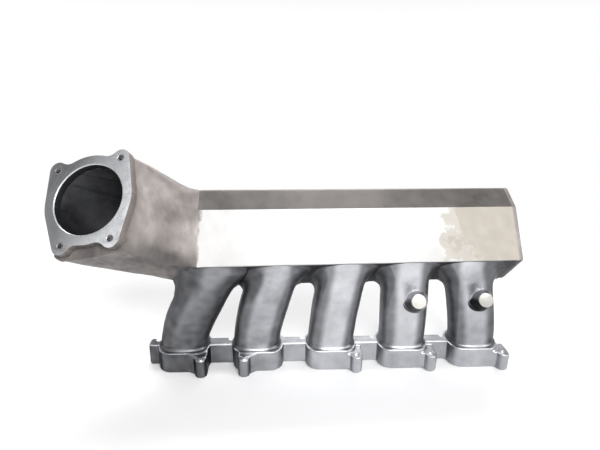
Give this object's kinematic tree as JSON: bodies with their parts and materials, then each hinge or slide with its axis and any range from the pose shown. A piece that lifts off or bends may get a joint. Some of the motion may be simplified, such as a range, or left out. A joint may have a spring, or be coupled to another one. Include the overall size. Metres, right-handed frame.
{
  "type": "intake manifold",
  "caption": "Aluminium engine intake manifold: long faceted plenum on fanned runners over a port flange, with a bolted throttle inlet on a turned elbow.",
  "frame": {"origin": "middle of the base of the whole part's box, on the plane of the head face", "axes": "+X along the row of ports, away from the throttle; +Y to the plenum's rear, away from the throttle's mouth; +Z from the head face up to the plenum"},
  "size_m": [0.531, 0.1172, 0.2565],
  "materials": {
    "raw_casting": "raw sand casting, satin, mottled",
    "duct_casting": "raw casting, satin, stained",
    "skimmed_face": "linished bright, faintly stained",
    "machined_face": "milled, fine satin",
    "steel_insert": "plain turned"
  },
  "bodies": {
    "root": {"head_flange": "raw_casting", "inlet_elbow_hood": "duct_casting", "inlet_elbow_pan": "duct_casting", "plenum_end_plate": "raw_casting", "plenum_floor": "raw_casting", "plenum_front_panel": "skimmed_face", "plenum_rear_shell": "raw_casting", "plenum_top_panel": "duct_casting", "runner_1": "raw_casting", "runner_2": "raw_casting", "runner_3": "raw_casting", "runner_4": "raw_casting", "runner_5": "raw_casting", "runner_boss_4": "machined_face", "runner_boss_5": "machined_face", "throttle_flange": "machined_face", "throttle_insert_1": "steel_insert", "throttle_insert_2": "steel_insert", "throttle_insert_3": "steel_insert", "throttle_insert_4": "steel_insert"}
  },
  "joints": []
}
